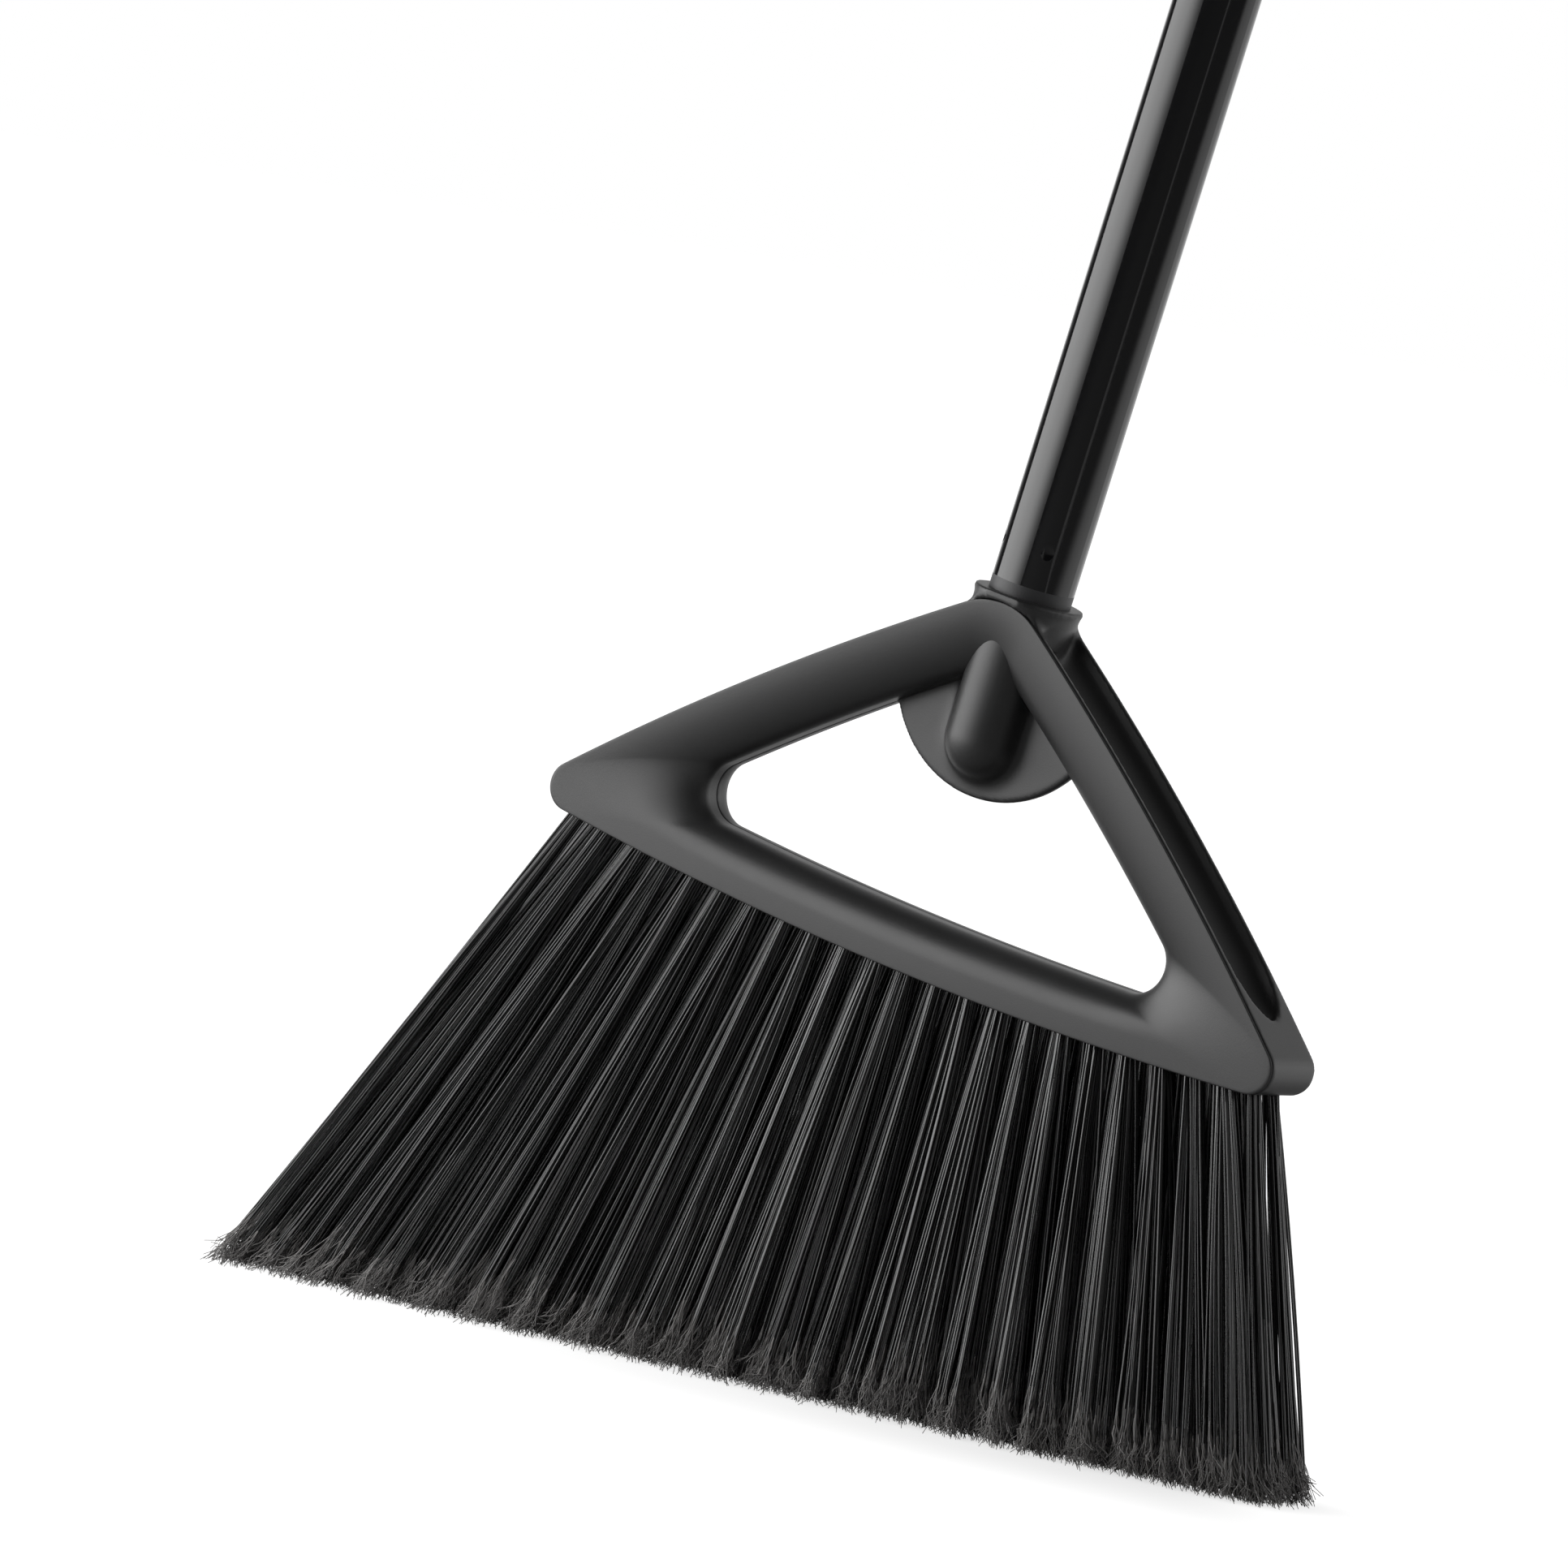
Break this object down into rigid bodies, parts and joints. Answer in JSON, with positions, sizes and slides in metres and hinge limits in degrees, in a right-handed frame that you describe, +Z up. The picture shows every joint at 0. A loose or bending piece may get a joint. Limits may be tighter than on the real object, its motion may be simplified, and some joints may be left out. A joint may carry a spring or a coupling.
{
  "type": "angle broom",
  "caption": "Upright angle broom: a triangular moulded head with fanned bristles trimmed at a slant, on a screwed pole with a foam sleeve and a hanging cap.",
  "frame": {"origin": "where the pole's axis meets the floor, with the trimmed bristle tips flat on the floor", "axes": "+Z up, -Y out of the head's front, +X the way that the pole leans"},
  "size_m": [0.4151, 0.0442, 1.3345],
  "materials": {
    "head_plastic": "fine-grained matte moulding",
    "bristle_filament": "glossy filament with split tips",
    "anchor_wire": "bare wire",
    "pole_paint": "gloss black paint on steel tube",
    "thread_plastic": "moulded thread",
    "ring_plastic": "satin moulding",
    "foam": "closed-cell foam",
    "grip_plastic": "fine-grained matte moulding"
  },
  "bodies": {
    "head": {"head_front_cover": "head_plastic", "head_body": "head_plastic", "bristle_row_1": "bristle_filament", "bristle_row_2": "bristle_filament", "bristle_row_3": "bristle_filament", "bristle_row_4": "bristle_filament", "tuft_anchors": "anchor_wire"},
    "lower_ring": {"lower_joint_ring": "ring_plastic"},
    "lower_pole": {"lower_tube": "pole_paint", "lower_plug": "thread_plastic", "lower_insert": "thread_plastic"},
    "second_ring": {"second_joint_ring": "ring_plastic"},
    "second_pole": {"second_tube": "pole_paint", "second_plug": "thread_plastic", "second_insert": "thread_plastic"},
    "third_ring": {"third_joint_ring": "ring_plastic"},
    "third_pole": {"third_tube": "pole_paint", "third_plug": "thread_plastic", "third_insert": "thread_plastic", "foam_grip": "foam"},
    "top_ring": {"top_joint_ring": "ring_plastic"},
    "top_pole": {"top_tube": "pole_paint", "top_plug": "thread_plastic", "hand_grip": "grip_plastic", "grip_end_ring": "grip_plastic", "hang_cap": "grip_plastic"}
  },
  "joints": [
    {"name": "lower_rise", "type": "slide", "parent": "head", "child": "lower_ring", "axis": [0.165, 0, 0.9863], "range_m": [0, 0.02]},
    {"name": "lower_unscrew", "type": "hinge", "parent": "lower_ring", "child": "lower_pole", "pos_m": [0.03598, 0, 0.21501], "axis": [0.165, 0, 0.9863], "range_deg": [0, 1440]},
    {"name": "second_rise", "type": "slide", "parent": "lower_pole", "child": "second_ring", "axis": [0.165, 0, 0.9863], "range_m": [0, 0.02]},
    {"name": "second_unscrew", "type": "hinge", "parent": "second_ring", "child": "second_pole", "pos_m": [0.07681, 0, 0.45902], "axis": [0.165, 0, 0.9863], "range_deg": [0, 1440]},
    {"name": "third_rise", "type": "slide", "parent": "second_pole", "child": "third_ring", "axis": [0.165, 0, 0.9863], "range_m": [0, 0.02]},
    {"name": "third_unscrew", "type": "hinge", "parent": "third_ring", "child": "third_pole", "pos_m": [0.12294, 0, 0.73468], "axis": [0.165, 0, 0.9863], "range_deg": [0, 1440]},
    {"name": "top_rise", "type": "slide", "parent": "third_pole", "child": "top_ring", "axis": [0.165, 0, 0.9863], "range_m": [0, 0.02]},
    {"name": "top_unscrew", "type": "hinge", "parent": "top_ring", "child": "top_pole", "pos_m": [0.16908, 0, 1.01035], "axis": [0.165, 0, 0.9863], "range_deg": [0, 1440]}
  ],
  "couplings": [
    {"joint": "lower_rise", "follows": "lower_unscrew", "m_per_rad": 0.00079577},
    {"joint": "second_rise", "follows": "second_unscrew", "m_per_rad": 0.00079577},
    {"joint": "third_rise", "follows": "third_unscrew", "m_per_rad": 0.00079577},
    {"joint": "top_rise", "follows": "top_unscrew", "m_per_rad": 0.00079577}
  ]
}
